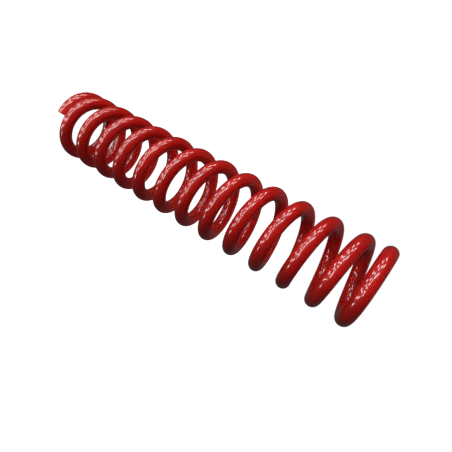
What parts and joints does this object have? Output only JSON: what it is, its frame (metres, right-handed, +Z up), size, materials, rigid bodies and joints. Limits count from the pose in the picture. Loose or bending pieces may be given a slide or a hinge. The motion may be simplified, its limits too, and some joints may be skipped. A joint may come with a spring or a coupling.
{
  "type": "round-wire compression spring",
  "caption": "Red coated coil spring of round wire, wound left-handed, with one closed and ground end and one unground end.",
  "frame": {"origin": "centre of the ground seat, where the coil axis meets the surface the spring stands on", "axes": "+Z up along the coil axis, from the ground end to the free end; +X through the wire's tip at the ground end"},
  "size_m": [0.048, 0.048, 0.2247],
  "materials": {
    "red_coating": "glossy red coating over steel wire"
  },
  "bodies": {
    "root": {"spring": "red_coating"}
  },
  "joints": []
}
